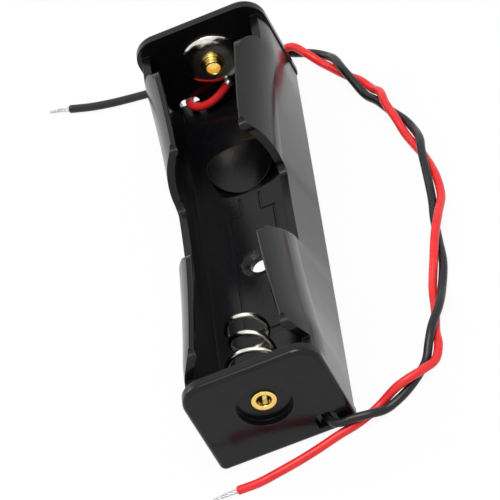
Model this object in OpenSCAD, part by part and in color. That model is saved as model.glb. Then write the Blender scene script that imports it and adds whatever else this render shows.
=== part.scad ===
// Cylindrical cell holder: a moulded trough for one round cell, a sprung contact
// at one end, a riveted button contact at the other, and two twisted leads.
// X is the width, Y the length (the button contact is at +Y), Z is up.
// The origin is the middle of the underside.

/* [Cell] */
// Diameter of the cell that the trough grips
cell_d = 18.2; // [17.6:0.1:18.8]
// Length of the cell
cell_l = 65; // [60:0.5:70]
// Room left beside the cell for the two contacts, spring pressed in
contact_room = 8.4; // [7:0.1:11]

/* [Moulded case] */
// Running gap between the cell and each side wall
cell_gap = 0.05; // [0:0.05:0.3]
// Thickness of the side walls and of the curled lobes
wall_t = 1.2; // [1:0.1:1.6]
// Thickness of the floor
floor_t = 1.4; // [1.2:0.1:2]
// Thickness of the end walls
end_t = 1.8; // [1.7:0.1:2.6]
// Height of the end walls
end_h = 17.1; // [15:0.1:19]
// How far the end walls stand out past the side walls
end_proud = 0.2; // [0.1:0.05:0.5]
// Corner radius at the top of the end walls
end_top_r = 3.7; // [2.5:0.1:4.5]
// Corner radius along the underside
base_r = 1; // [0.9:0.1:1.4]
// Edge rounding of the end walls' outer faces
edge_r = 0.8; // [0.4:0.1:0.8]
// Height of the side walls between the two pairs of lobes
rail_h = 9.5; // [8:0.1:10.5]
// Height of the side walls next to the end walls
shoulder_h = 14.6; // [13:0.1:15.5]
// Width of the open mouth between the lips of the lobes
mouth_w = 12.8; // [11:0.2:14]

/* [Gripping lobes] */
// From the button end wall to the first pair of lobes
far_lobe_gap = 6; // [3:0.1:8]
// Length of the first pair of lobes along the lip
far_lobe_l = 17.5; // [12:0.1:22]
// Length over which the first pair rounds down at the outer end
far_ramp = 3.6; // [2:0.1:6]
// From the spring end wall to the second pair of lobes
near_lobe_gap = 2.9; // [2:0.1:6]
// Length of the second pair of lobes along the lip
near_lobe_l = 19.6; // [12:0.1:21]
// Length over which the second pair rounds down at the outer end
near_ramp = 2.4; // [1.5:0.1:5]
// Slant of the edges that face the finger gap
lobe_slant = 2.6; // [1:0.1:4]
// Rounding of the lobes' free corners
lobe_r = 1.6; // [0.8:0.1:2.2]

/* [Floor] */
// Diameter of the round saddles that the cell lies on
pad_d = 10.8; // [8:0.1:12]
// Height of the saddles at their middle
pad_t = 0.2; // [0.15:0.05:0.4]
// From the screw hole to the middle of each saddle
pad_pitch = 21; // [17:0.5:24]
// Bore of the screw hole
screw_d = 3.2; // [2.6:0.1:3.6]
// Diameter of the countersink
screw_head_d = 5.8; // [5:0.1:6.4]
// Depth of the countersink
screw_head_h = 0.5; // [0.3:0.1:0.8]
// Distance of the screw hole from the middle, towards the spring
screw_offset = 1.2; // [0:0.1:3]
// Width of the engraved lines
mark_w = 0.35; // [0.2:0.05:0.6]
// Depth of the engraved lines
mark_depth = 0.2; // [0.1:0.05:0.4]

/* [Contacts] */
// Height of the contacts above the underside
contact_z = 9.6; // [9:0.1:10.4]
// Diameter of the round recesses in the end walls
recess_d = 8.2; // [6:0.1:9]
// Web left between a recess and the inside
web_t = 0.7; // [0.6:0.1:1]
// Diameter of the eyelet barrels
barrel_d = 2.8; // [2.6:0.1:2.9]
// Bore of the eyelets
eyelet_bore = 2.1; // [1.6:0.1:2.2]
// Diameter of the eyelet flanges
flange_d = 3.7; // [3.5:0.1:4.2]
// Thickness of the eyelet flanges
flange_t = 0.35; // [0.25:0.05:0.5]
// Diameter of the button contact's disc
disc_d = 9.4; // [8:0.1:10]
// Thickness of the contact's sheet metal
disc_t = 0.3; // [0.2:0.05:0.4]
// How far the disc domes into the bay
dome_h = 0.8; // [0.4:0.1:1.2]
// How far the button stands out of the disc
button_l = 1.3; // [0.9:0.1:2]
// Diameter of the button's tip
button_d = 2.9; // [2.6:0.1:3.3]

/* [Spring] */
// Spring wire diameter
wire_d = 0.8; // [0.6:0.05:0.9]
// Length of the free spring from the end wall
spring_l = 14.5; // [11:0.5:17]
// Coil diameter at the foot, at the middle of the wire
foot_d = 9.8; // [9:0.1:10.4]
// Coil diameter at the waist
waist_d = 5.5; // [5:0.1:6.5]
// Coil diameter at the free end
tip_d = 5.9; // [5.2:0.1:7]
// Turns between the foot and the waist
spring_turns = 2; // [1.5:0.1:3.5]
// How far the free end leans towards -X
spring_lean = 0.9; // [0:0.1:1.5]

/* [Leads] */
// Outer diameter of the leads
lead_d = 1.3; // [1:0.1:1.4]
// Distance between the middles of the two twisted leads
twist_pitch = 1.45; // [1.45:0.05:1.6]
// Diameter of the tinned tips
tip_wire_d = 0.7; // [0.5:0.05:0.9]
// Width of the windows that the leads pass through
window_w = 3.2; // [3:0.1:3.6]
// Height of the windows above the floor
window_h = 2.6; // [2.4:0.1:3]
// Distance of the windows from the middle
window_x = 6.6; // [6.3:0.1:6.8]

/* [Hidden] */
$fn = 48;

// Case sizes that follow from the cell
bay_half_w = cell_d / 2 + cell_gap;
side_half_w = bay_half_w + wall_t;
end_half_w = side_half_w + end_proud;
bay_half_l = (cell_l + contact_room) / 2;
case_half_l = bay_half_l + end_t;
curl_r = side_half_w;
curl_z = floor_t + pad_t + cell_d / 2;   // the lobes curl about the cell's axis
lip_angle = acos((mouth_w / 2 + wall_t / 2) / (curl_r - wall_t / 2));
case_top = curl_z + curl_r * sin(lip_angle) + wall_t;
corner_fill = 0.75;                 // thickening at the foot of the side walls
corner_rise = 2.7;
gap_r = 0.5;                        // fillet where the second pair meets the finger gap
eps = 0.01;

// Contact stations along Y, measured from the end walls' inner faces
screw_y = -screw_offset;
recess_depth = end_t - web_t;
rivet_gap = 0.05;                   // between an eyelet's barrel and its hole
rivet_hole_d = barrel_d + 2 * rivet_gap;
spring_foot_y = -bay_half_l + wire_d / 2;
rivet_loop_r = barrel_d / 2 + wire_d / 2 + rivet_gap;

// Turns of the spring's wire, counted from the rivet
loop_turns = 0.8;
foot_start = 1.5;
foot_end = 2.25;
narrow_at = foot_end + 0.4;         // where the coil starts to narrow
waist_at = foot_end + spring_turns;
all_turns = waist_at + 1.15;
waist_rise = 0.78 * (spring_l - wire_d);

// Outline of the engraved battery, along the floor
mark_half_w = 3.6;
mark_nub_w = 3.2;
mark_nub_l = 3.6;
mark_far = screw_y + pad_pitch - pad_d / 2 - 0.9 - mark_nub_l;
mark_near = screw_y - 14.4;

// Twisted run of the pair, as [x, y]. It crosses itself at every fourth point.
PAIR = [[10.5, 41.5], [13, 39.5], [15, 37.5], [16.5, 35], [18, 32], [19.5, 29.5],
        [21, 26.5], [22.5, 24], [23.5, 21], [25, 17.5], [26, 14.5], [27, 11],
        [27.5, 8], [28, 3.5], [28, -1], [27.5, -5.5], [27, -10], [26.5, -14.5],
        [25.5, -19], [25, -23.5], [24, -27.5], [23.5, -30], [22.5, -32.5],
        [21, -34.5], [19, -36], [17, -37], [14.5, -38], [12.5, -39], [10, -39.5]];
TWIST_STEP = 45;                    // turn of the pair from one point to the next
solder_r = lead_d / 2 + 0.05;

// Free runs of the leads before and after the twist, as [x, y, z]
RED_START = [[0.5, 35.7, 4.8], [-0.4, 35.5, 4.2], [-1.8, 35.2, 3.5], [-3.4, 35, 3],
             [-5, 35.2, 2.8], [-6.2, 36, 2.8], [-6.7, 37.5, 2.7], [-6.4, 39.3, 2.3],
             [-5.2, 40.8, 1.5], [-3, 41.6, 0.8], [0, 41.9, 0.65], [3.5, 41.9, 0.65],
             [7, 41.9, 1.2]];
RED_END = [[7.4, -40.2, 0.65], [4.5, -41.2, 0.65], [1.5, -42.1, 0.65], [-2, -42.9, 0.65],
           [-5.2, -43.5, 0.65], [-8.5, -43.5, 0.65]];
RED_TIP = [[-8.5, -43.5, 0.65], [-10.4, -43.5, 0.65], [-12.3, -43.4, 0.5]];
BLACK_START = [[-27, 49, 0.65], [-23.5, 47.6, 0.65], [-20, 46.6, 0.65], [-16.5, 45.9, 0.65],
               [-13, 45.3, 0.65], [-9.5, 44.8, 0.65], [-6, 44.5, 0.65], [-2, 44.3, 0.65],
               [2, 44.2, 0.65], [5.5, 43.8, 0.65], [8.5, 42.8, 0.65]];
BLACK_END = [[8.6, -39.5, 2.1], [7.3, -38.9, 2.15], [6.6, -37.6, 2.2], [6.2, -36.3, 2.6],
             [5.3, -35.5, 3.4], [4.7, -35.6, 4.6]];
BLACK_TIP = [[-27, 49, 0.65], [-28.5, 49.6, 0.65], [-30.4, 50.3, 0.5]];

case_col = [0.13, 0.13, 0.14];
nickel_col = [0.78, 0.77, 0.72];
brass_col = [0.85, 0.65, 0.2];
solder_col = [0.7, 0.7, 0.7];
red_col = [0.86, 0.12, 0.12];
black_col = [0.12, 0.12, 0.13];

// ---- Functions ----

// Points of an arc about c, from angle a to angle b
function arc(c, r, a, b, n = 8) = [for (i = [0:n]) c + r * [cos(a + (b - a) * i / n), sin(a + (b - a) * i / n)]];

function unit(v) = v / norm(v);

// Direction of a route at point i
function heading(p, i) = unit(p[min(i + 1, len(p) - 1)] - p[max(i - 1, 0)]);

// Sides of a tube's section: level across the route, then at right angles to it
function across(d) = unit(cross(abs(d.z) > 0.95 ? [0, 1, 0] : [0, 0, 1], d));
function ring(p, d, r, n) = let (u = across(d), v = cross(d, u))
    [for (k = [0:n - 1]) p + r * (cos(360 * (k + 0.5) / n) * u + sin(360 * (k + 0.5) / n) * v)];

// Place of one lead of the twisted pair at point i; side is 1 for red, -1 for black
function pair_point(i, side) = let (
    d = heading(PAIR, i),
    out = [-d.y, d.x],
    a = TWIST_STEP * i - 180,
    flat = PAIR[i] + out * side * sin(a) * twist_pitch / 2)
    [flat.x, flat.y, lead_d / 2 + twist_pitch * max(0, -side * cos(a))];

function twisted(side) = [for (i = [0:len(PAIR) - 1]) pair_point(i, side)];

function mix(a, b, t) = a + (b - a) * t;
function ease(t) = let (u = max(0, min(1, t))) u * u * (3 - 2 * u);

// Half of the coil's diameter after t turns from the rivet: the loop, the spiral out to
// the foot, the foot on the wall, the waist and the free end
function coil_r(t) =
    t < loop_turns ? rivet_loop_r :
    t < foot_start ? mix(rivet_loop_r, foot_d / 2, ease((t - loop_turns) / (foot_start - loop_turns))) :
    t < waist_at ? mix(foot_d / 2, waist_d / 2, ease((t - narrow_at) / (waist_at - narrow_at))) :
    mix(waist_d / 2, tip_d / 2, ease(t - waist_at));

// Rise of the wire above the foot after t turns
function coil_rise(t) =
    t < foot_end ? 0 :
    t < waist_at ? waist_rise * (t - foot_end) / (waist_at - foot_end) :
    mix(waist_rise, spring_l - wire_d, sin(90 * min(1, (t - waist_at) / (all_turns - waist_at))));

// ---- Modules ----

// A closed tube of radius r whose rings stand at the points of a route
module swept(route, r, n = 8) {
    m = len(route);
    pts = [for (i = [0:m - 1]) each ring(route[i], heading(route, i), r, n)];
    sides = [for (i = [0:m - 2], k = [0:n - 1])
        each [[i * n + k, i * n + (k + 1) % n, (i + 1) * n + k],
              [i * n + (k + 1) % n, (i + 1) * n + (k + 1) % n, (i + 1) * n + k]]];
    caps = [[for (k = [n - 1:-1:0]) k], [for (k = [0:n - 1]) (m - 1) * n + k]];
    polyhedron(pts, concat(sides, caps), convexity = 10);
}

// Stand a shape drawn in X and Y up, so that its Y becomes Z, its height from y to y + l
module upright(y, l) {
    translate([0, y + l, 0]) rotate([90, 0, 0]) linear_extrude(l) children();
}

// Turn a profile drawn as [radius, distance into the bay] about a contact's axis.
// way is 1 at the spring end and -1 at the button end.
module about_contact(y, way) {
    translate([0, y, contact_z]) rotate([-90 * way, 0, 0]) rotate_extrude() children();
}

// Cross-section of the trough with its curled walls, before the lobes are cut out
module trough_profile() {
    difference() {
        union() {
            translate([-side_half_w, base_r]) square([2 * side_half_w, curl_z - base_r]);
            translate([base_r - side_half_w, 0]) square([2 * (side_half_w - base_r), curl_z]);
            for (s = [-1, 1]) translate([s * (side_half_w - base_r), base_r]) circle(base_r);
            translate([0, curl_z]) circle(curl_r);
        }
        polygon([[corner_fill - bay_half_w, floor_t], [bay_half_w - corner_fill, floor_t],
                 [bay_half_w, floor_t + corner_rise], [bay_half_w, curl_z],
                 [-bay_half_w, curl_z], [-bay_half_w, floor_t + corner_rise]]);
        translate([0, curl_z]) circle(curl_r - wall_t);
        translate([-mouth_w / 2 - wall_t / 2, curl_z]) square([mouth_w + wall_t, 2 * curl_r]);
    }
    // rounded lips
    for (s = [-1, 1])
        translate([0, curl_z] + (curl_r - wall_t / 2) * [s * cos(lip_angle), sin(lip_angle)])
            circle(wall_t / 2);
}

// Side view of what the lobe cuts leave, as [y, z]
module side_view() {
    far_out = bay_half_l - far_lobe_gap;
    far_lip = far_out - far_ramp;
    far_in = far_lip - far_lobe_l;
    near_out = -bay_half_l + near_lobe_gap;
    near_lip = near_out + near_ramp;
    near_in = near_lip + near_lobe_l;
    lip_z = curl_z + curl_r * sin(lip_angle);
    ramp_n = 8;
    polygon(concat(
        [[-case_half_l, 0], [-case_half_l, shoulder_h]],
        [for (i = [0:ramp_n]) [near_lip - near_ramp * cos(90 * i / ramp_n),
                               shoulder_h + (lip_z - shoulder_h) * sin(90 * i / ramp_n)]],
        [[near_lip, case_top], [near_in - lobe_r, case_top]],
        arc([near_in - lobe_r, lip_z - lobe_r], lobe_r, 90, 0),
        arc([near_in + lobe_slant + gap_r, rail_h + gap_r], gap_r, 180, 270),
        arc([far_in - lobe_slant - lobe_r, rail_h + lobe_r], lobe_r, 270, 360),
        arc([far_in + lobe_r, lip_z - lobe_r], lobe_r, 180, 90),
        [[far_in + lobe_r, case_top], [far_lip, case_top]],
        [for (i = [0:ramp_n]) [far_lip + far_ramp * sin(90 * i / ramp_n),
                               shoulder_h + (lip_z - shoulder_h) * cos(90 * i / ramp_n)]],
        [[case_half_l, shoulder_h], [case_half_l, 0]]));
}

module trough() {
    intersection() {
        upright(-bay_half_l - eps, 2 * bay_half_l + 2 * eps) trough_profile();
        rotate([90, 0, 90]) linear_extrude(4 * side_half_w, center = true) side_view();
    }
}

// Profile of an end wall's edge, as [distance from the corner's middle, thickness]
module edge_profile(r) {
    square([r - edge_r, end_t]);
    square([r, end_t - edge_r]);
    translate([r - edge_r, end_t - edge_r]) intersection() {
        circle(edge_r);
        square(edge_r);
    }
}

// One end wall, inner face on Z = 0, its outer edges rounded
module end_wall() {
    core_w = end_half_w - end_top_r;
    base_w = end_half_w - base_r;
    side_h = end_h - end_top_r - base_r;
    translate([-core_w, base_r, 0]) cube([2 * core_w, side_h, end_t]);
    translate([-core_w, end_h - end_top_r, 0])
        rotate([90, 0, 90]) linear_extrude(2 * core_w) edge_profile(end_top_r);
    translate([-base_w, base_r, 0]) mirror([0, 1, 0])
        rotate([90, 0, 90]) linear_extrude(2 * base_w) edge_profile(base_r);
    for (s = [0, 1]) mirror([s, 0, 0]) {
        translate([core_w, base_r + side_h, 0]) rotate_extrude(angle = 90) edge_profile(end_top_r);
        translate([core_w, base_r + side_h, 0])
            rotate([90, 0, 0]) linear_extrude(side_h) edge_profile(end_top_r);
        translate([base_w, base_r, 0]) rotate([0, 0, -90])
            rotate_extrude(angle = 90) edge_profile(base_r);
    }
}

// Window for a lead in an end wall, level with the floor, its upper corners rounded
module lead_window(y0, y1, side) {
    r = 1;
    upright(y0, y1 - y0) translate([side * window_x - window_w / 2, floor_t]) {
        square([window_w, window_h - r]);
        translate([r, 0]) square([window_w - 2 * r, window_h]);
        for (x = [r, window_w - r]) translate([x, window_h - r]) circle(r);
    }
}

// Round saddle hollowed to the cell
module saddle() {
    difference() {
        translate([0, 0, floor_t - eps]) cylinder(d = pad_d, h = curl_z - floor_t);
        translate([0, 0, curl_z]) rotate([90, 0, 0]) cylinder(d = cell_d, h = 2 * pad_d, center = true);
    }
}

// A plain battery outline engraved in the floor
module battery_mark() {
    z = floor_t - mark_depth;
    for (s = [-1, 1]) {
        translate([s * mark_half_w - mark_w / 2, mark_near, z])
            cube([mark_w, mark_far - mark_near, mark_depth + eps]);
        translate([s * mark_nub_w / 2 - mark_w / 2, mark_far, z])
            cube([mark_w, mark_nub_l, mark_depth + eps]);
    }
    for (s = [-1, 1]) translate([s > 0 ? mark_nub_w / 2 : -mark_half_w, mark_far - mark_w, z])
        cube([mark_half_w - mark_nub_w / 2, mark_w, mark_depth + eps]);
    translate([-mark_half_w, mark_near, z]) cube([2 * mark_half_w, mark_w, mark_depth + eps]);
}

module holder_case() {
    color(case_col) difference() {
        union() {
            trough();
            translate([0, bay_half_l, 0]) rotate([90, 0, 180]) end_wall();
            translate([0, -bay_half_l, 0]) rotate([90, 0, 0]) end_wall();
            for (s = [-1, 1])
                translate([0, screw_y + s * pad_pitch, 0]) saddle();
        }
        // screw hole and countersink
        translate([0, screw_y, -eps]) cylinder(d = screw_d, h = floor_t + 2 * eps);
        translate([0, screw_y, floor_t - screw_head_h])
            cylinder(d1 = screw_d, d2 = screw_head_d, h = screw_head_h + eps);
        // recesses and rivet holes
        for (s = [-1, 1]) translate([0, s * case_half_l, contact_z]) rotate([90 * s, 0, 0]) {
            translate([0, 0, -eps]) cylinder(d = recess_d, h = recess_depth + eps);
            cylinder(d = rivet_hole_d, h = end_t + 1);
        }
        lead_window(bay_half_l - eps, case_half_l + eps, -1);
        lead_window(-case_half_l - eps, -bay_half_l + eps, 1);
        battery_mark();
    }
}

// Domed disc riveted to the end wall, its rim on the wall
module positive_contact() {
    rim_r = disc_d / 2;
    slope_r = rim_r - 1;
    flat_r = flange_d / 2 + 0.3;
    hole_r = rivet_hole_d / 2;
    color(nickel_col) about_contact(bay_half_l, -1)
        polygon([[hole_r, dome_h], [flat_r, dome_h], [slope_r, 0], [rim_r, 0], [rim_r, disc_t],
                 [slope_r + disc_t / 2, disc_t], [flat_r + disc_t / 2, dome_h + disc_t],
                 [hole_r, dome_h + disc_t]]);
}

// Hollow rivet with a stepped head that the cell's cap touches
module positive_eyelet() {
    seat = dome_h + disc_t;
    tip = seat + button_l;
    step = seat + flange_t;
    color(brass_col) about_contact(bay_half_l, -1)
        polygon([[eyelet_bore / 2, -web_t - flange_t], [flange_d / 2, -web_t - flange_t],
                 [flange_d / 2, -web_t], [barrel_d / 2, -web_t], [barrel_d / 2, seat],
                 [flange_d / 2, seat], [flange_d / 2, step - 0.1], [flange_d / 2 - 0.1, step],
                 [button_d / 2 + 0.1, step], [button_d / 2 + 0.1, step + 0.2], [button_d / 2 - 0.1, step + 0.3],
                 [button_d / 2, step + 0.4], [button_d / 2, tip - 0.2], [button_d / 2 - 0.15, tip],
                 [eyelet_bore / 2 + 0.1, tip], [eyelet_bore / 2, tip - 0.1]]);
}

// Coil spring with a spiral foot that its rivet clamps to the end wall. Its wire ends
// level with the axis, on the -X side.
module negative_spring() {
    per_turn = 20;
    steps = round(all_turns * per_turn);
    route = [for (i = [0:steps]) let (t = all_turns * i / steps, a = 360 * (all_turns - t) - 90)
        [coil_r(t) * sin(a) - spring_lean * coil_rise(t) / (spring_l - wire_d),
         spring_foot_y + coil_rise(t), contact_z + coil_r(t) * cos(a)]];
    color(nickel_col) swept(route, wire_d / 2);
}

// Hollow rivet that holds the spring's foot
module negative_eyelet() {
    seat = wire_d;
    color(brass_col) about_contact(-bay_half_l, 1)
        polygon([[eyelet_bore / 2, -web_t - flange_t + 0.1], [eyelet_bore / 2 + 0.1, -web_t - flange_t],
                 [flange_d / 2 - 0.1, -web_t - flange_t], [flange_d / 2, -web_t - flange_t + 0.1],
                 [flange_d / 2, -web_t], [barrel_d / 2, -web_t], [barrel_d / 2, seat],
                 [flange_d / 2 + 0.2, seat], [flange_d / 2 + 0.2, seat + flange_t],
                 [eyelet_bore / 2, seat + flange_t]]);
}

// Half ball of solder on the end of a lead, its flat side on the lead's end
module solder_on(route) {
    d = unit(route[0] - route[1]);
    color(solder_col) translate(route[0]) rotate([0, acos(d.z), atan2(d.y, d.x)])
        rotate_extrude() intersection() {
            circle(solder_r);
            square(solder_r);
        }
}

module positive_solder() {
    solder_on(RED_START);
}

module negative_solder() {
    solder_on([for (i = [1:2]) BLACK_END[len(BLACK_END) - i]]);
}

module red_lead() {
    color(red_col) swept(concat(RED_START, twisted(1), RED_END), lead_d / 2);
}

module black_lead() {
    color(black_col) swept(concat(BLACK_START, twisted(-1), BLACK_END), lead_d / 2);
}

module red_lead_tip() {
    color(solder_col) swept(RED_TIP, tip_wire_d / 2);
}

module black_lead_tip() {
    color(solder_col) swept(BLACK_TIP, tip_wire_d / 2);
}

holder_case();
positive_contact();
positive_eyelet();
negative_spring();
negative_eyelet();
positive_solder();
negative_solder();
red_lead();
black_lead();
red_lead_tip();
black_lead_tip();
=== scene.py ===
"""Cylindrical cell holder: a black moulded trough with curled gripping lobes, a coil
spring, a riveted button contact and a twisted pair of leads. The scene is in metres, and
sizes named in the source's millimetres are scaled by MM. +Z is up and +Y points to the
button contact."""
import math

import bmesh
import bpy
from mathutils import Matrix, Vector


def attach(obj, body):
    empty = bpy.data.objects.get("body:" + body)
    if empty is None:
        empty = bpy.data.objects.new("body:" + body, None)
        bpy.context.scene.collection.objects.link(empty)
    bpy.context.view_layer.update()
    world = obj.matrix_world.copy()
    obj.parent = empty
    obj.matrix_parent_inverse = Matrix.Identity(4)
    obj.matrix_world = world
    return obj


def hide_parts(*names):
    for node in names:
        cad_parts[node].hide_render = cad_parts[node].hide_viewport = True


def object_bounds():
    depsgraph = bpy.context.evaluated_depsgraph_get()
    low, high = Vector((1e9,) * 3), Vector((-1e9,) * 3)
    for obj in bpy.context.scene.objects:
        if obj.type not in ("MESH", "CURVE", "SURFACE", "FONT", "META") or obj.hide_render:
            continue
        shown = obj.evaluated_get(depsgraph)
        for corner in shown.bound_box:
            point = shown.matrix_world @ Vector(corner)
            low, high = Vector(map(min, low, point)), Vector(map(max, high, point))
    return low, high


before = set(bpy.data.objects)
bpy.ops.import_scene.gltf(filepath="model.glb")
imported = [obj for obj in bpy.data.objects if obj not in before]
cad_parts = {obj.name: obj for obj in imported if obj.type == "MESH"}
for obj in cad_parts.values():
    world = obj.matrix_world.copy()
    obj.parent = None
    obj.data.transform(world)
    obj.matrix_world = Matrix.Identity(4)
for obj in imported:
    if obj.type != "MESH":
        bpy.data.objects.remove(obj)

CAD_BOX = [list(corner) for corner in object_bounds()]
MM = 0.001
BODY = "root"

# ---------------------------------------------------------------- camera

VIEW_TARGET = Vector((-1.0, 1.43, 1.87)) * MM
VIEW_DISTANCE = 0.624
VIEW_AZIMUTH = math.radians(15.13)
VIEW_ELEVATION = math.radians(40.90)
VIEW_ROLL = math.radians(-31.2)
VIEW_LENS = 304.2


def make_camera():
    """The camera, at its distance from the target and rolled about its view."""
    back = Vector((math.sin(VIEW_AZIMUTH) * math.cos(VIEW_ELEVATION),
                   -math.cos(VIEW_AZIMUTH) * math.cos(VIEW_ELEVATION),
                   math.sin(VIEW_ELEVATION)))
    data = bpy.data.cameras.new("camera")
    data.sensor_width = 36
    data.lens = VIEW_LENS
    data.clip_start = 0.01
    data.clip_end = 20
    camera = bpy.data.objects.new("camera", data)
    bpy.context.scene.collection.objects.link(camera)
    camera.rotation_mode = "QUATERNION"
    camera.location = VIEW_TARGET + back * VIEW_DISTANCE
    level = (-back).to_track_quat("-Z", "Y")
    roll = Matrix.Rotation(VIEW_ROLL, 4, "Z").to_quaternion()
    camera.rotation_quaternion = level @ roll
    bpy.context.scene.camera = camera


# ---------------------------------------------------------------- sizes

# Leads: radii in metres, the two centres' distance in the source's millimetres
LEAD_R = 0.65 * MM
TIP_R = 0.35 * MM
TWIST_PITCH = 1.45
TWIST_STEP = math.radians(45)

# Tinned ends: strands, turns over their length, and shares of a strand's radius
STRANDS = 7
STRAND_TWIST = 0.9
STRAND_FULL = 1.12
STRAND_TAPER = 0.45

# Contacts, in the source's millimetres
BAY_HALF_L = 36.7
CONTACT_Z = 9.6
WEB_T = 0.7
EYELET_BORE_R = 1.05
BARREL_R = 1.4
BARREL_ROOM = 0.05
FLANGE_R = 1.85
FLANGE_T = 0.35
BUTTON_R = 1.45
BUTTON_L = 1.3
DISC_R = 4.7
DISC_T = 0.3
DOME_H = 0.8

# Spring, in the source's millimetres
WIRE_R = 0.4
SPRING_L = 14.5
SPRING_LEAN = 0.9
SPRING_RISE = SPRING_L - 2 * WIRE_R
WAIST_RISE = 0.78 * SPRING_RISE
LOOP_R = BARREL_R + WIRE_R + BARREL_ROOM
FOOT_R = 4.9
WAIST_R = 2.75
TIP_COIL_R = 2.95

# Spring, in turns of the wire from its inner loop
LOOP_TURNS = 0.8
FOOT_START = 1.5
FOOT_END = 2.25
NARROW_AT = 2.65
WAIST_AT = 4.25
ALL_TURNS = 5.4

# The free walls bow inwards between the end walls, in the source's millimetres
BOW_DEPTH = 1.65
BOW_HALF_L = 31.0
BOW_FROM_Z = 1.6
BOW_TO_Z = 8.5
BOW_MIN_X = 6.0
BOW_STATIONS = 48

# The same routes as the part's source, in its millimetres
PAIR = [(10.5, 41.5), (13, 39.5), (15, 37.5), (16.5, 35), (18, 32), (19.5, 29.5),
        (21, 26.5), (22.5, 24), (23.5, 21), (25, 17.5), (26, 14.5), (27, 11),
        (27.5, 8), (28, 3.5), (28, -1), (27.5, -5.5), (27, -10), (26.5, -14.5),
        (25.5, -19), (25, -23.5), (24, -27.5), (23.5, -30), (22.5, -32.5),
        (21, -34.5), (19, -36), (17, -37), (14.5, -38), (12.5, -39), (10, -39.5)]
RED_START = [(0.5, 35.7, 4.8), (-0.4, 35.5, 4.2), (-1.8, 35.2, 3.5), (-3.4, 35, 3),
             (-5, 35.2, 2.8), (-6.2, 36, 2.8), (-6.7, 37.5, 2.7), (-6.4, 39.3, 2.3),
             (-5.2, 40.8, 1.5), (-3, 41.6, 0.8), (0, 41.9, 0.65), (3.5, 41.9, 0.65),
             (7, 41.9, 1.2)]
RED_END = [(7.4, -40.2, 0.65), (4.5, -41.2, 0.65), (1.5, -42.1, 0.65), (-2, -42.9, 0.65),
           (-5.2, -43.5, 0.65), (-8.5, -43.5, 0.65)]
RED_TIP = [(-8.5, -43.5, 0.65), (-10.4, -43.5, 0.65), (-12.3, -43.4, 0.5)]
BLACK_START = [(-27, 49, 0.65), (-23.5, 47.6, 0.65), (-20, 46.6, 0.65), (-16.5, 45.9, 0.65),
               (-13, 45.3, 0.65), (-9.5, 44.8, 0.65), (-6, 44.5, 0.65), (-2, 44.3, 0.65),
               (2, 44.2, 0.65), (5.5, 43.8, 0.65), (8.5, 42.8, 0.65)]
BLACK_END = [(8.6, -39.5, 2.1), (7.3, -38.9, 2.15), (6.6, -37.6, 2.2), (6.2, -36.3, 2.6),
             (5.3, -35.5, 3.4), (4.7, -35.6, 4.6)]
BLACK_TIP = [(-27, 49, 0.65), (-28.5, 49.6, 0.65), (-30.4, 50.3, 0.5)]


# ---------------------------------------------------------------- mesh helpers

def new_piece(name, mesh, mat, node):
    """A smooth piece that rides on the part's one body in the place of a node."""
    piece = bpy.data.objects.new(name, mesh)
    bpy.context.scene.collection.objects.link(piece)
    mesh.materials.append(mat)
    for face in mesh.polygons:
        face.use_smooth = True
    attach(piece, BODY)
    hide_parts(node)
    return piece


def keep_crisp(mesh, degrees):
    """Edges that turn by more than the angle stay crisp under smooth shading."""
    work = bmesh.new()
    work.from_mesh(mesh)
    limit = math.radians(degrees)
    for edge in work.edges:
        edge.smooth = not (len(edge.link_faces) == 2 and edge.calc_face_angle(0) > limit)
    work.to_mesh(mesh)
    work.free()


def ease(t):
    """A smooth step from 0 to 1 as t goes from 0 to 1."""
    t = max(0.0, min(1.0, t))
    return t * t * (3 - 2 * t)


def spline(points, steps):
    """Points along a Catmull-Rom curve through the given points."""
    pts = [Vector(p) for p in points]
    pts = [2 * pts[0] - pts[1]] + pts + [2 * pts[-1] - pts[-2]]
    line = []
    for i in range(1, len(pts) - 2):
        p0, p1, p2, p3 = pts[i - 1:i + 3]
        for k in range(steps):
            t = k / steps
            line.append(0.5 * (2 * p1 + (p2 - p0) * t + (2 * p0 - 5 * p1 + 4 * p2 - p3) * t * t
                               + (3 * p1 - p0 - 3 * p2 + p3) * t ** 3))
    line.append(pts[-2])
    return line


def frames_along(line):
    """A direction and two sides at each point, turned as little as possible."""
    out = []
    side = None
    for i, p in enumerate(line):
        ahead = (line[min(i + 1, len(line) - 1)] - line[max(i - 1, 0)]).normalized()
        if side is None:
            side = ahead.cross(Vector((0, 0, 1)) if abs(ahead.z) < 0.9 else Vector((0, 1, 0)))
        side = (side - ahead * side.dot(ahead)).normalized()
        out.append((ahead, side, ahead.cross(side)))
    return out


def drawn_in(line, radius, share, rim):
    """The line with one more point near each end, at a share of the way to the next, and
    its radii, drawn in at the two ends to the rim's share of the radius."""
    line = ([line[0], line[0].lerp(line[1], share)] + line[1:-1]
            + [line[-1].lerp(line[-2], share), line[-1]])
    return line, [rim * radius] + [radius] * (len(line) - 2) + [rim * radius]


def tube_mesh(name, line, radii, sides=20):
    """A closed tube along a line, with a radius at each of its points."""
    mesh = bpy.data.meshes.new(name)
    work = bmesh.new()
    rings = []
    for p, r, (ahead, u, v) in zip(line, radii, frames_along(line)):
        rings.append([work.verts.new(p + r * (math.cos(a) * u + math.sin(a) * v))
                      for a in (2 * math.pi * k / sides for k in range(sides))])
    for a, b in zip(rings, rings[1:]):
        for k in range(sides):
            work.faces.new((a[k], a[(k + 1) % sides], b[(k + 1) % sides], b[k]))
    work.faces.new(list(reversed(rings[0])))
    work.faces.new(rings[-1])
    bmesh.ops.recalc_face_normals(work, faces=work.faces)
    work.to_mesh(mesh)
    work.free()
    return mesh


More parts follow.
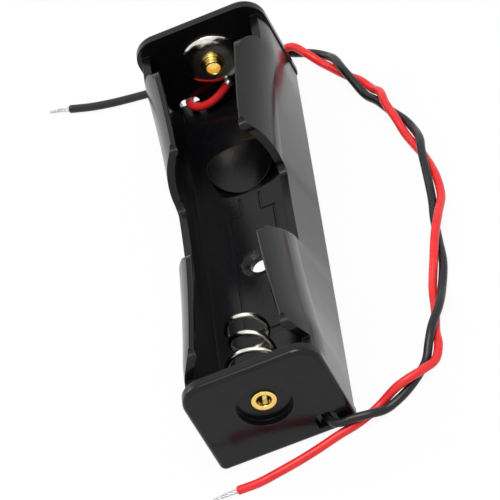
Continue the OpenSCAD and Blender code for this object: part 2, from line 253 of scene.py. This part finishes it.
def lathe_mesh(name, profile, segments=72):
    """A closed ring turned from a profile of (radius, distance along +Y)."""
    mesh = bpy.data.meshes.new(name)
    work = bmesh.new()
    rings = [[work.verts.new((r * math.cos(a), y, r * math.sin(a)))
              for a in (2 * math.pi * k / segments for k in range(segments))]
             for r, y in profile]
    for a, b in zip(rings, rings[1:] + rings[:1]):
        for k in range(segments):
            work.faces.new((a[k], a[(k + 1) % segments], b[(k + 1) % segments], b[k]))
    bmesh.ops.recalc_face_normals(work, faces=work.faces)
    work.to_mesh(mesh)
    work.free()
    return mesh


def rounded(profile):
    """A closed profile of (x, y, fillet) with each corner drawn round by its fillet, which
    takes under half of a side."""
    most = 0.45
    steps = 5
    out = []
    for i, (x, y, fillet) in enumerate(profile):
        p = Vector((x, y))
        before = Vector(profile[i - 1][:2])
        after = Vector(profile[(i + 1) % len(profile)][:2])
        a = p + (before - p).normalized() * min(fillet, most * (before - p).length)
        b = p + (after - p).normalized() * min(fillet, most * (after - p).length)
        for k in range(steps + 1):
            t = k / steps
            out.append((1 - t) ** 2 * a + 2 * t * (1 - t) * p + t * t * b)
    return out


# ---------------------------------------------------------------- materials

def material(name):
    """A new material, with its nodes, links and shader."""
    mat = bpy.data.materials.new(name)
    mat.use_nodes = True
    shader = mat.node_tree.nodes["Principled BSDF"]
    return mat, mat.node_tree.nodes, mat.node_tree.links, shader


def noise_ramp(nodes, links, scale, low, high, detail=4.0):
    """Noise over the object's own space, mapped to the range from low to high."""
    place = nodes.new("ShaderNodeTexCoord")
    tex = nodes.new("ShaderNodeTexNoise")
    tex.inputs["Scale"].default_value = scale
    tex.inputs["Detail"].default_value = detail
    links.new(place.outputs["Object"], tex.inputs["Vector"])
    spread = nodes.new("ShaderNodeMapRange")
    spread.inputs["From Min"].default_value = 0.3
    spread.inputs["From Max"].default_value = 0.7
    spread.inputs["To Min"].default_value = low
    spread.inputs["To Max"].default_value = high
    links.new(tex.outputs["Fac"], spread.inputs["Value"])
    return spread.outputs["Result"]


def colour_mix(nodes, links, factor, dark, light):
    """A colour between two by a factor."""
    mix = nodes.new("ShaderNodeMix")
    mix.data_type = "RGBA"
    mix.inputs["A"].default_value = (*dark, 1)
    mix.inputs["B"].default_value = (*light, 1)
    links.new(factor, mix.inputs["Factor"])
    return mix.outputs["Result"]


def bump(nodes, links, shader, height, strength, distance, edge=0.0):
    """Fine relief, over edges that look softened by the given radius."""
    node = nodes.new("ShaderNodeBump")
    if edge:
        soft = nodes.new("ShaderNodeBevel")
        soft.samples = 6
        soft.inputs["Radius"].default_value = edge
        links.new(soft.outputs["Normal"], node.inputs["Normal"])
    node.inputs["Strength"].default_value = strength
    node.inputs["Distance"].default_value = distance
    links.new(height, node.inputs["Height"])
    links.new(node.outputs["Normal"], shader.inputs["Normal"])


def moulded_plastic():
    """Black polypropylene: semi-gloss, with the fine grain of a spark-eroded mould."""
    mat, nodes, links, shader = material("moulded_plastic")
    tone = noise_ramp(nodes, links, 900, 0, 1)
    links.new(colour_mix(nodes, links, tone, (0.0032, 0.0032, 0.0040), (0.0055, 0.0055, 0.0066)),
              shader.inputs["Base Color"])
    links.new(noise_ramp(nodes, links, 350, 0.17, 0.23), shader.inputs["Roughness"])
    shader.inputs["Specular IOR Level"].default_value = 0.26
    bump(nodes, links, shader, noise_ramp(nodes, links, 3200, 0, 1, 3.0), 0.06, 0.00005, 0.00014)
    return mat


def plated_nickel():
    """Nickel plating over drawn wire and sheet, with a slight warm tint."""
    mat, nodes, links, shader = material("plated_nickel")
    tone = noise_ramp(nodes, links, 700, 0, 1)
    links.new(colour_mix(nodes, links, tone, (0.66, 0.63, 0.55), (0.80, 0.78, 0.71)),
              shader.inputs["Base Color"])
    shader.inputs["Metallic"].default_value = 1
    links.new(noise_ramp(nodes, links, 1200, 0.12, 0.22), shader.inputs["Roughness"])
    bump(nodes, links, shader, noise_ramp(nodes, links, 4000, 0, 1, 2.0), 0.06, 0.00003)
    return mat


def polished_brass():
    """Brass of the hollow rivets, bright from the rivet tool."""
    mat, nodes, links, shader = material("polished_brass")
    tone = noise_ramp(nodes, links, 800, 0, 1)
    links.new(colour_mix(nodes, links, tone, (0.83, 0.56, 0.13), (0.93, 0.70, 0.24)),
              shader.inputs["Base Color"])
    shader.inputs["Metallic"].default_value = 1
    links.new(noise_ramp(nodes, links, 1500, 0.14, 0.24), shader.inputs["Roughness"])
    bump(nodes, links, shader, noise_ramp(nodes, links, 3000, 0, 1, 2.0), 0.05, 0.00003)
    return mat


def tinned_copper():
    """Solder-dipped strands and the solder itself, duller than the plating."""
    mat, nodes, links, shader = material("tinned_copper")
    tone = noise_ramp(nodes, links, 1500, 0, 1)
    links.new(colour_mix(nodes, links, tone, (0.42, 0.42, 0.43), (0.66, 0.66, 0.67)),
              shader.inputs["Base Color"])
    shader.inputs["Metallic"].default_value = 1
    links.new(noise_ramp(nodes, links, 2500, 0.25, 0.42), shader.inputs["Roughness"])
    bump(nodes, links, shader, noise_ramp(nodes, links, 5000, 0, 1, 2.0), 0.1, 0.00003)
    return mat


def lead_insulation(name, dark, light, level):
    """Soft vinyl insulation with faint extrusion marks."""
    mat, nodes, links, shader = material(name)
    tone = noise_ramp(nodes, links, 500, 0, 1)
    links.new(colour_mix(nodes, links, tone, dark, light), shader.inputs["Base Color"])
    links.new(noise_ramp(nodes, links, 900, 0.3, 0.4), shader.inputs["Roughness"])
    shader.inputs["Specular IOR Level"].default_value = level
    bump(nodes, links, shader, noise_ramp(nodes, links, 2500, 0, 1, 3.0), 0.06, 0.00004)
    return mat


def background_rays(nodes, links, path, camera):
    """How far a ray meets the plain white background: seen by the camera as given, and
    in full where it is mirrored or passes through glass."""
    total = camera
    for kind in ("Is Glossy Ray", "Is Transmission Ray"):
        add = nodes.new("ShaderNodeMath")
        add.operation = "ADD"
        add.use_clamp = True
        links.new(total, add.inputs[0])
        links.new(path.outputs[kind], add.inputs[1])
        total = add.outputs[0]
    return total


def pale_ground(name, shade):
    """White ground: the camera sees it nearly as bright as the background, with a soft
    shadow left under the part."""
    mat, nodes, links, shader = material(name)
    shader.inputs["Base Color"].default_value = (0.8, 0.8, 0.8, 1)
    shader.inputs["Roughness"].default_value = 0.9
    shader.inputs["Specular IOR Level"].default_value = 0
    glow = nodes.new("ShaderNodeEmission")
    glow.inputs["Color"].default_value = (1, 1, 1, 1)
    glow.inputs["Strength"].default_value = 1.0
    path = nodes.new("ShaderNodeLightPath")
    seen = nodes.new("ShaderNodeMath")
    seen.operation = "MULTIPLY"
    seen.inputs[1].default_value = shade
    links.new(path.outputs["Is Camera Ray"], seen.inputs[0])
    mix = nodes.new("ShaderNodeMixShader")
    links.new(background_rays(nodes, links, path, seen.outputs[0]), mix.inputs["Fac"])
    links.new(shader.outputs[0], mix.inputs[1])
    links.new(glow.outputs[0], mix.inputs[2])
    links.new(mix.outputs[0], nodes["Material Output"].inputs["Surface"])
    return mat


PLASTIC = moulded_plastic()
NICKEL = plated_nickel()
BRASS = polished_brass()
TIN = tinned_copper()
RED = lead_insulation("red_insulation", (0.76, 0.014, 0.015), (0.87, 0.028, 0.028), 0.4)
BLACK = lead_insulation("black_insulation", (0.005, 0.005, 0.006), (0.010, 0.010, 0.012), 0.36)


# ---------------------------------------------------------------- leads

def pair_point(i, side):
    """Place of one lead at a point of the twisted run; side is 1 for red, -1 for black."""
    a, b = Vector(PAIR[max(i - 1, 0)]), Vector(PAIR[min(i + 1, len(PAIR) - 1)])
    d = (b - a).normalized()
    turn = TWIST_STEP * i - math.pi
    shift = side * math.sin(turn) * TWIST_PITCH / 2
    lift = TWIST_PITCH * max(0, -side * math.cos(turn))
    return (PAIR[i][0] - d.y * shift, PAIR[i][1] + d.x * shift, LEAD_R / MM + lift)


def lead_line(start, side, end):
    """The centre line of one lead, in metres, over its whole length."""
    route = start + [pair_point(i, side) for i in range(len(PAIR))] + end
    return [p * MM for p in spline(route, 6)]


def lead(name, node, line, mat):
    """One lead: a smooth tube with slightly drawn-in ends."""
    line, radii = drawn_in(line, LEAD_R, 0.15, 0.9)
    piece = new_piece(name, tube_mesh(name, line, radii), mat, node)
    keep_crisp(piece.data, 50)


def strands(name, node, route):
    """A tinned bundle: one strand with the others twisted round it, drawn together towards
    the far end."""
    line = [p * MM for p in spline(route, 10)]
    last = len(line) - 1
    strand_r = TIP_R / 3
    radii = [strand_r * (STRAND_FULL - STRAND_TAPER * (i / last) ** 2) for i in range(len(line))]
    work = bmesh.new()
    for k in range(STRANDS):
        ring = 0 if k == 0 else 2 * strand_r
        path = []
        for i, (p, (ahead, u, v)) in enumerate(zip(line, frames_along(line))):
            t = i / last
            a = 2 * math.pi * (k / (STRANDS - 1) + STRAND_TWIST * t)
            draw = 1 - STRAND_TAPER * t * t
            path.append(p + ring * draw * (math.cos(a) * u + math.sin(a) * v))
        part = tube_mesh("strand", path, radii, 10)
        work.from_mesh(part)
        bpy.data.meshes.remove(part)
    mesh = bpy.data.meshes.new(name)
    work.to_mesh(mesh)
    work.free()
    return new_piece(name, mesh, TIN, node)


def make_leads():
    red_line = lead_line(RED_START, 1, RED_END)
    black_line = lead_line(BLACK_START, -1, BLACK_END)
    red_tip = strands("red_tinned_strands", "red_lead_tip", RED_TIP)
    black_tip = strands("black_tinned_strands", "black_lead_tip", BLACK_TIP)
    lead("red_insulated_lead", "red_lead", red_line, RED)
    lead("black_insulated_lead", "black_lead", black_line, BLACK)


# ---------------------------------------------------------------- case

def bow(p):
    """Inward shift of a wall at a point of it, in metres."""
    if abs(p.x) < BOW_MIN_X * MM:
        return 0.0
    along = max(0.0, 1 - (p.y / MM / BOW_HALF_L) ** 2)
    up = ease((p.z / MM - BOW_FROM_Z) / (BOW_TO_Z - BOW_FROM_Z))
    return -math.copysign(BOW_DEPTH * MM * along * up, p.x)


def make_case():
    """The moulded case from its solid, with the free walls' inward bow."""
    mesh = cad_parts["holder_case"].data.copy()
    mesh.name = "moulded_case"
    mesh.materials.clear()
    work = bmesh.new()
    work.from_mesh(mesh)
    bmesh.ops.remove_doubles(work, verts=work.verts, dist=0.002 * MM)
    bmesh.ops.dissolve_limit(work, angle_limit=math.radians(0.4), verts=work.verts, edges=work.edges)
    for i in range(1, BOW_STATIONS):
        y = (2 * i / BOW_STATIONS - 1) * BAY_HALF_L * MM
        bmesh.ops.bisect_plane(work, geom=work.verts[:] + work.edges[:] + work.faces[:],
                               dist=0.001 * MM, plane_co=(0, y, 0), plane_no=(0, 1, 0))
    for vert in work.verts:
        vert.co.x += bow(vert.co)
    work.to_mesh(mesh)
    work.free()
    piece = new_piece("moulded_case", mesh, PLASTIC, "holder_case")
    keep_crisp(mesh, 26)
    weighted = piece.modifiers.new("normals", "WEIGHTED_NORMAL")
    weighted.keep_sharp = True


# ---------------------------------------------------------------- contacts

def turned(name, node, mat, wall_y, way, profile):
    """A piece turned about the contacts' axis, from a profile of (radius, distance into the
    bay, fillet) in millimetres."""
    points = [(p.x * MM, way * p.y * MM) for p in rounded(profile)]
    mesh = lathe_mesh(name, points)
    for vert in mesh.vertices:
        vert.co += Vector((0, wall_y, CONTACT_Z)) * MM
    new_piece(name, mesh, mat, node)
    keep_crisp(mesh, 40)


def make_disc():
    """The domed disc: a flat middle under the button, falling to a thin rim."""
    hole = BARREL_R + BARREL_ROOM
    flat = FLANGE_R + 0.3
    middle = DISC_R - 1.4
    outer = DISC_R - 0.5
    turned("domed_disc", "positive_contact", NICKEL, BAY_HALF_L, -1,
           [(hole, DOME_H, 0.02), (flat, DOME_H, 0.5), (middle, 0.6 * DOME_H, 0.5),
            (DISC_R - 0.25, 0, 0.06), (DISC_R, 0, 0.06), (DISC_R, DISC_T, 0.12),
            (outer, 0.5 * DOME_H + DISC_T, 0.5), (middle, 0.9 * DOME_H + DISC_T, 0.5),
            (flat, DOME_H + DISC_T, 0.5), (hole, DOME_H + DISC_T, 0.02)])


def make_rivets():
    """The two hollow rivets: the stepped button, and the one that clamps the spring."""
    back = -WEB_T - FLANGE_T
    through_wall = [(EYELET_BORE_R, back), (FLANGE_R, back), (FLANGE_R, -WEB_T), (BARREL_R, -WEB_T)]
    seat = DOME_H + DISC_T
    step = seat + FLANGE_T
    tip = seat + BUTTON_L
    turned("button_rivet", "positive_eyelet", BRASS, BAY_HALF_L, -1,
           [(*point, fillet) for point, fillet in zip(through_wall, (0.2, 0.12, 0.05, 0.03))]
           + [(BARREL_R, seat, 0.03), (FLANGE_R, seat, 0.1), (FLANGE_R, step, 0.14),
              (BUTTON_R + 0.1, step, 0.05), (BUTTON_R + 0.1, step + 0.25, 0.1),
              (BUTTON_R - 0.1, step + 0.3, 0.05), (BUTTON_R, step + 0.4, 0.05),
              (BUTTON_R, tip, 0.2), (EYELET_BORE_R, tip, 0.2)])
    wide = FLANGE_R + 0.2
    head = 2 * WIRE_R
    top = head + FLANGE_T
    turned("spring_rivet", "negative_eyelet", BRASS, -BAY_HALF_L, 1,
           [(*point, fillet) for point, fillet in zip(through_wall, (0.3, 0.16, 0.05, 0.03))]
           + [(BARREL_R, head, 0.03), (wide, head, 0.05), (wide, top, 0.14),
              (EYELET_BORE_R, top, 0.1)])


# ---------------------------------------------------------------- spring

def coil_radius(t):
    """Radius of the coil after t turns: an inner loop, a spiral foot, a waist and a tip."""
    if t < LOOP_TURNS:
        return LOOP_R
    if t < FOOT_START:
        return LOOP_R + (FOOT_R - LOOP_R) * ease((t - LOOP_TURNS) / (FOOT_START - LOOP_TURNS))
    if t < WAIST_AT:
        return FOOT_R + (WAIST_R - FOOT_R) * ease((t - NARROW_AT) / (WAIST_AT - NARROW_AT))
    return WAIST_R + (TIP_COIL_R - WAIST_R) * ease(t - WAIST_AT)


def coil_rise(t):
    """Distance of the wire from the foot's plane after t turns."""
    if t < FOOT_END:
        return 0.0
    if t < WAIST_AT:
        return WAIST_RISE * (t - FOOT_END) / (WAIST_AT - FOOT_END)
    last = SPRING_RISE - WAIST_RISE
    return WAIST_RISE + last * math.sin(math.pi / 2 * min(1, (t - WAIST_AT) / (ALL_TURNS - WAIST_AT)))


def make_spring():
    """The coil spring, which leans sideways as it rises."""
    steps = 360
    line = []
    for i in range(steps + 1):
        t = ALL_TURNS * i / steps
        a = math.radians(360 * (ALL_TURNS - t) - 90)
        lean = SPRING_LEAN * coil_rise(t) / SPRING_RISE
        line.append(Vector((coil_radius(t) * math.sin(a) - lean, WIRE_R - BAY_HALF_L + coil_rise(t),
                            CONTACT_Z + coil_radius(t) * math.cos(a))) * MM)
    line, radii = drawn_in(line, WIRE_R * MM, 0.4, 0.8)
    piece = new_piece("coil_spring", tube_mesh("coil_spring", line, radii, 16), NICKEL,
                      "negative_spring")
    keep_crisp(piece.data, 50)


# ---------------------------------------------------------------- dressed CAD nodes

def dress(node, mat):
    """A CAD node whose own shape shows: its material slots take the finish."""
    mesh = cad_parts[node].data
    if not mesh.materials:
        mesh.materials.append(mat)
    for i in range(len(mesh.materials)):
        mesh.materials[i] = mat


# ---------------------------------------------------------------- stage and light

def make_stage():
    """A wide pale ground at the part's lowest point."""
    low = CAD_BOX[0][2]
    size = 6.0
    mesh = bpy.data.meshes.new("ground")
    mesh.from_pydata([(-size, -size, low), (size, -size, low), (size, size, low), (-size, size, low)],
                     [], [(0, 1, 2, 3)])
    ground = bpy.data.objects.new("ground", mesh)
    bpy.context.scene.collection.objects.link(ground)
    mesh.materials.append(pale_ground("pale_ground", 0.93))


def make_world():
    """Soft light from all round, behind a plain white background."""
    world = bpy.data.worlds.new("studio")
    bpy.context.scene.world = world
    world.use_nodes = True
    nodes, links = world.node_tree.nodes, world.node_tree.links
    light = nodes["Background"]
    light.inputs["Color"].default_value = (0.9, 0.95, 1, 1)
    light.inputs["Strength"].default_value = 0.5
    plain = nodes.new("ShaderNodeBackground")
    plain.inputs["Color"].default_value = (1, 1, 1, 1)
    plain.inputs["Strength"].default_value = 1
    path = nodes.new("ShaderNodeLightPath")
    mix = nodes.new("ShaderNodeMixShader")
    links.new(background_rays(nodes, links, path, path.outputs["Is Camera Ray"]), mix.inputs["Fac"])
    links.new(light.outputs[0], mix.inputs[1])
    links.new(plain.outputs[0], mix.inputs[2])
    links.new(mix.outputs[0], nodes["World Output"].inputs["Surface"])


def softbox(name, place, aim, size, power):
    """A rectangular lamp at a place, turned to its aim."""
    data = bpy.data.lights.new(name, "AREA")
    data.shape = "RECTANGLE"
    data.size, data.size_y = size
    data.energy = power
    lamp = bpy.data.objects.new(name, data)
    bpy.context.scene.collection.objects.link(lamp)
    lamp.location = place
    lamp.rotation_mode = "QUATERNION"
    lamp.rotation_quaternion = (Vector(aim) - Vector(place)).to_track_quat("-Z", "Y")


def make_lights():
    softbox("top_box", (0.1, -0.15, 0.8), (0, 0, 0), (0.45, 0.45), 5.0)
    softbox("back_box", (-0.45, 0.3, 0.35), (0, 0, 0.01), (0.2, 0.3), 0.8)


# ---------------------------------------------------------------- build

make_camera()
make_leads()
make_case()
make_disc()
make_rivets()
make_spring()
for node_name in ("positive_solder", "negative_solder"):
    dress(node_name, TIN)
make_stage()
make_world()
make_lights()

bpy.context.scene.view_settings.view_transform = "Standard"

bpy.context.view_layer.update()
